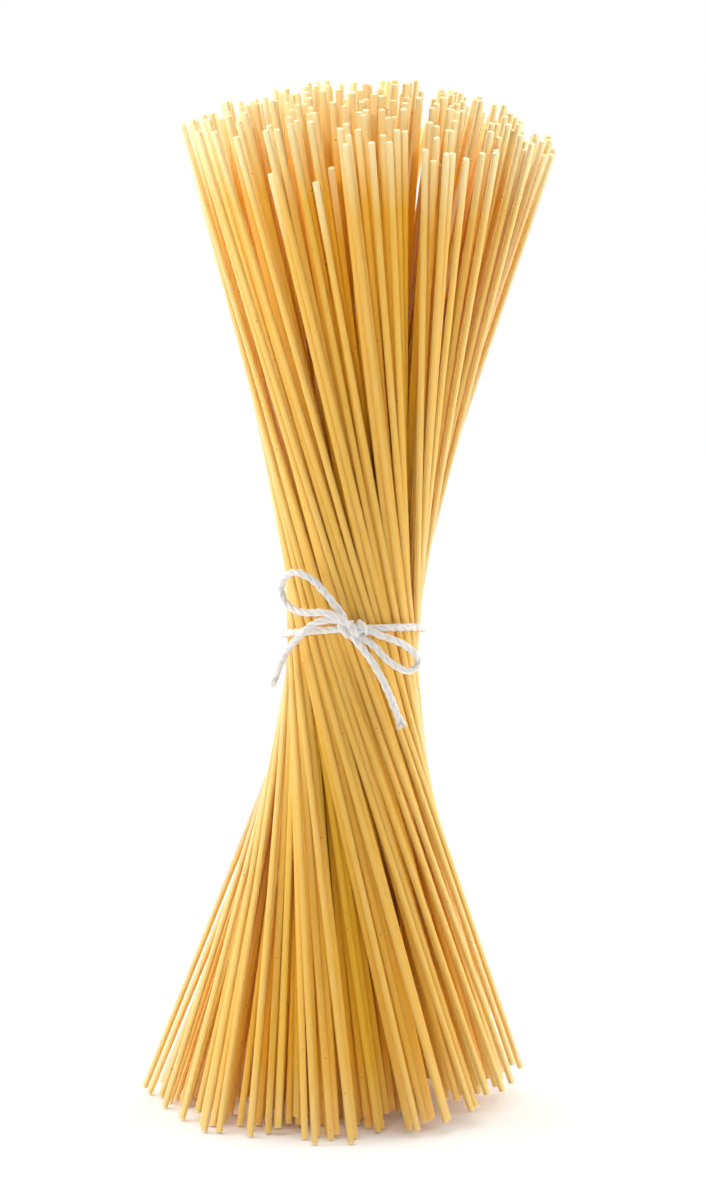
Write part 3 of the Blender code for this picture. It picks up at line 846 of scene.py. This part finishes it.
def make_twine(material):
    """The tie: a band round the waist and a bow, of three-ply twine."""
    twine = Twine(np.random.default_rng(SEED + 1))
    twine.lay(smooth(band_route(), PLY_STEP, closed=True), closed=True)
    for route in (LEFT_LOOP, RIGHT_LOOP, LEFT_WRAP, MIDDLE_WRAP, RIGHT_WRAP):
        twine.lay(bow_route(route))
    part = np.linspace(-1, 1, KNOT_RINGS)
    filling = tie_place(KNOT_LENGTH / 2 * part, 0 * part, KNOT_OUT + 0 * part)
    twine.add(filling[None], KNOT_RADIUS * np.sqrt(KNOT_BLUNTNESS - part ** 2)[None], 2 * PLY_SIDES)
    left, right = bow_route(LEFT_TAIL), bow_route(RIGHT_TAIL)
    twine.lay(left, taper=LEFT_TAPER)
    twine.lay(right, parted=RIGHT_PARTING)
    twine.fray(left, *LEFT_FRAY)
    twine.fray(right, *RIGHT_FRAY)
    return make_piece("cotton_twine", np.concatenate(twine.points), np.concatenate(twine.faces),
                      np.empty((0, 3), int), {"ply_place": np.concatenate(twine.places)}, material)


# --- Studio -----------------------------------------------------------------------------------------

def add_light(name, kind, place, aim, power):
    """A light of this kind, facing aim."""
    data = bpy.data.lights.new(name, kind)
    data.energy = power
    light = bpy.data.objects.new(name, data)
    light.location = place
    light.rotation_euler = turned(place, aim)
    bpy.context.scene.collection.objects.link(light)
    return light


def make_floor():
    """A round, white table top."""
    angle = FULL_TURN * np.arange(FLOOR_SIDES) / FLOOR_SIDES
    rim = np.stack([FLOOR_REACH * np.cos(angle), FLOOR_REACH * np.sin(angle), TABLE + 0 * angle], axis=1)
    points = np.concatenate([rim, [[0, 0, TABLE]]])
    number = np.arange(FLOOR_SIDES)
    triangles = np.stack([np.full(FLOOR_SIDES, FLOOR_SIDES), number, (number + 1) % FLOOR_SIDES], axis=1)
    return make_piece("studio_floor", points, np.empty((0, 4), int), triangles, {}, white_studio_paper())


def make_studio():
    """A white table in a white room, with soft light all round and a beam on each end of the noodles."""
    floor = make_floor()
    for name, place, width, power in PANELS:
        panel = add_light(name, "AREA", place, MIDDLE_OF_BUNDLE, power)
        panel.data.shape = "SQUARE"
        panel.data.size = width
        panel.visible_camera = False
    for name, place, aim, power in BEAMS:
        beam = add_light(name, "SPOT", place, aim, power)
        beam.data.spot_size = BEAM_ANGLE
        beam.data.spot_blend = 1.0
        beam.data.shadow_soft_size = BEAM_SOURCE

    world = bpy.data.worlds.new("white_room")
    world.use_nodes = True
    tree = world.node_tree
    tree.nodes.clear()
    seen = node(tree, "ShaderNodeLightPath").outputs["Is Camera Ray"]
    level = node(tree, "ShaderNodeMix", {0: seen, 2: ROOM_LIGHT, 3: ROOM_SEEN}).outputs[0]
    white = node(tree, "ShaderNodeBackground", {"Color": (1, 1, 1, 1), "Strength": level})
    node(tree, "ShaderNodeOutputWorld", {"Surface": white.outputs[0]})
    scene = bpy.context.scene
    scene.world = world
    scene.view_settings.view_transform = "Standard"
    scene.cycles.max_bounces = LIGHT_BOUNCES
    scene.cycles.diffuse_bounces = NOODLE_BOUNCES


set_camera()
pasta = extruded_durum_pasta()
noodles = make_noodles(pasta)
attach(noodles, "root")
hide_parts("spaghetti_bundle")
core = make_core(pasta)
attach(core, "root")
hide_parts("spaghetti_bundle")
twine = make_twine(twisted_bleached_cotton())
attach(twine, "root")
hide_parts("twine_tie")
make_studio()
